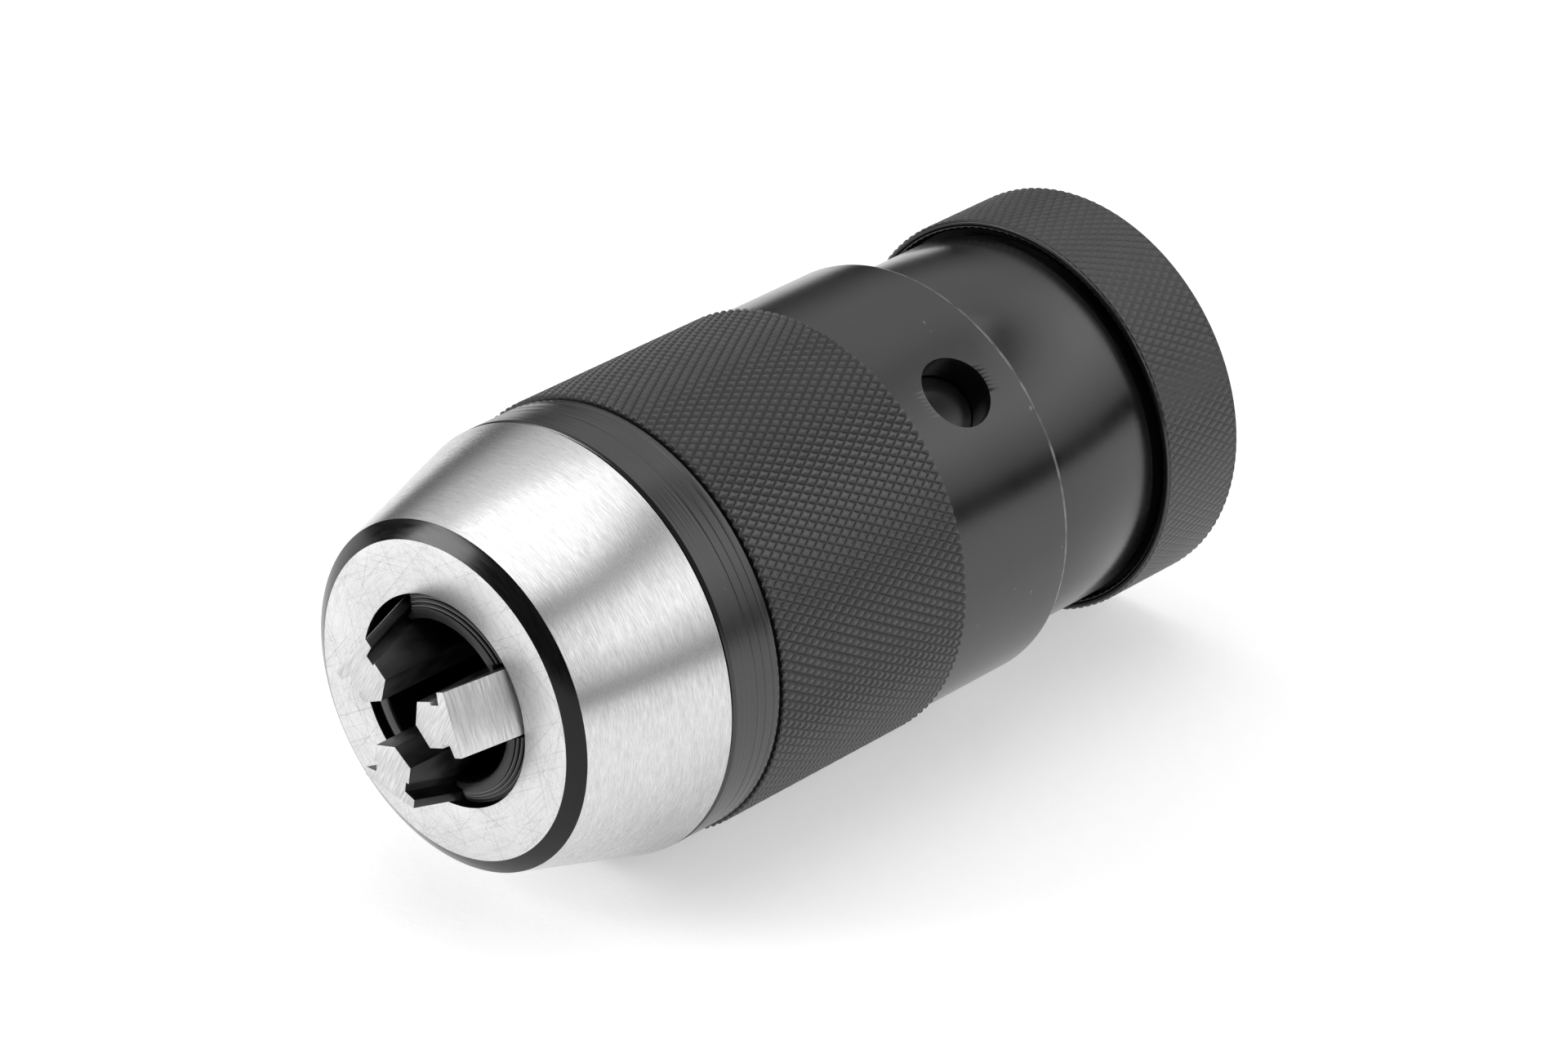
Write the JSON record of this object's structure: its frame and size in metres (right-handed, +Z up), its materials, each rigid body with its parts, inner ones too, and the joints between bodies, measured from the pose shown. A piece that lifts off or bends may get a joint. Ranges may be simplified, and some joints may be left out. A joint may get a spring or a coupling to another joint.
{
  "type": "drill chuck",
  "caption": "Keyless self-tightening drill chuck: a knurled sleeve turns a screw that slides the jaws in or out, with a taper socket behind.",
  "frame": {"origin": "on the surface that the sleeve lies on, under the middle of the chuck's length", "axes": "Y along the chuck's axis with the nose at -Y and the taper socket at +Y, +Z up, X to the right seen from the nose"},
  "size_m": [0.05, 0.1098, 0.05],
  "materials": {
    "bright_steel": "bright, finely brushed round the axis",
    "ground_steel": "hardened and ground",
    "black_oxide": "black oxide, satin, with knurled grips",
    "cage_brass": "stamped"
  },
  "bodies": {
    "core": {"taper_body": "ground_steel", "rear_ring": "black_oxide", "race_front": "bright_steel", "circlip": "ground_steel"},
    "sleeve_assembly": {"sleeve": "black_oxide", "hood": "bright_steel", "jaw_guide": "black_oxide", "bearing_cap": "black_oxide", "race_rear": "bright_steel", "friction_spring": "ground_steel"},
    "spindle_screw": {"spindle": "ground_steel"},
    "jaw_slide_1": {"jaw_1": "ground_steel"},
    "jaw_slide_2": {"jaw_2": "ground_steel"},
    "jaw_slide_3": {"jaw_3": "ground_steel"},
    "ball_ring": {"ball_cage": "cage_brass", "ball_01": "bright_steel", "ball_02": "bright_steel", "ball_03": "bright_steel", "ball_04": "bright_steel", "ball_05": "bright_steel", "ball_06": "bright_steel", "ball_07": "bright_steel", "ball_08": "bright_steel", "ball_09": "bright_steel", "ball_10": "bright_steel", "ball_11": "bright_steel", "ball_12": "bright_steel", "ball_13": "bright_steel", "ball_14": "bright_steel"}
  },
  "joints": [
    {"name": "sleeve_turn", "type": "hinge", "parent": "core", "child": "sleeve_assembly", "pos_m": [0, 0, 0.025], "axis": [0, 1, 0], "range_deg": [-1392, 960]},
    {"name": "spindle_feed", "type": "slide", "parent": "sleeve_assembly", "child": "spindle_screw", "axis": [0, -1, 0], "range_m": [-0.01161, 0.00801]},
    {"name": "jaw_feed_1", "type": "slide", "parent": "sleeve_assembly", "child": "jaw_slide_1", "axis": [-0.2747, -0.9563, -0.1], "range_m": [-0.01214, 0.00838]},
    {"name": "jaw_feed_2", "type": "slide", "parent": "sleeve_assembly", "child": "jaw_slide_2", "axis": [0.224, -0.9563, -0.1879], "range_m": [-0.01214, 0.00838]},
    {"name": "jaw_feed_3", "type": "slide", "parent": "sleeve_assembly", "child": "jaw_slide_3", "axis": [0.0508, -0.9563, 0.2879], "range_m": [-0.01214, 0.00838]},
    {"name": "ball_ring_turn", "type": "hinge", "parent": "core", "child": "ball_ring", "pos_m": [0, 0, 0.025], "axis": [0, 1, 0], "range_deg": [-697, 481]}
  ],
  "couplings": [
    {"joint": "spindle_feed", "follows": "sleeve_turn", "m_per_rad": 0.00047746},
    {"joint": "jaw_feed_1", "follows": "sleeve_turn", "m_per_rad": 0.00049928},
    {"joint": "jaw_feed_2", "follows": "sleeve_turn", "m_per_rad": 0.00049928},
    {"joint": "jaw_feed_3", "follows": "sleeve_turn", "m_per_rad": 0.00049928},
    {"joint": "ball_ring_turn", "follows": "sleeve_turn", "ratio": 0.5}
  ]
}
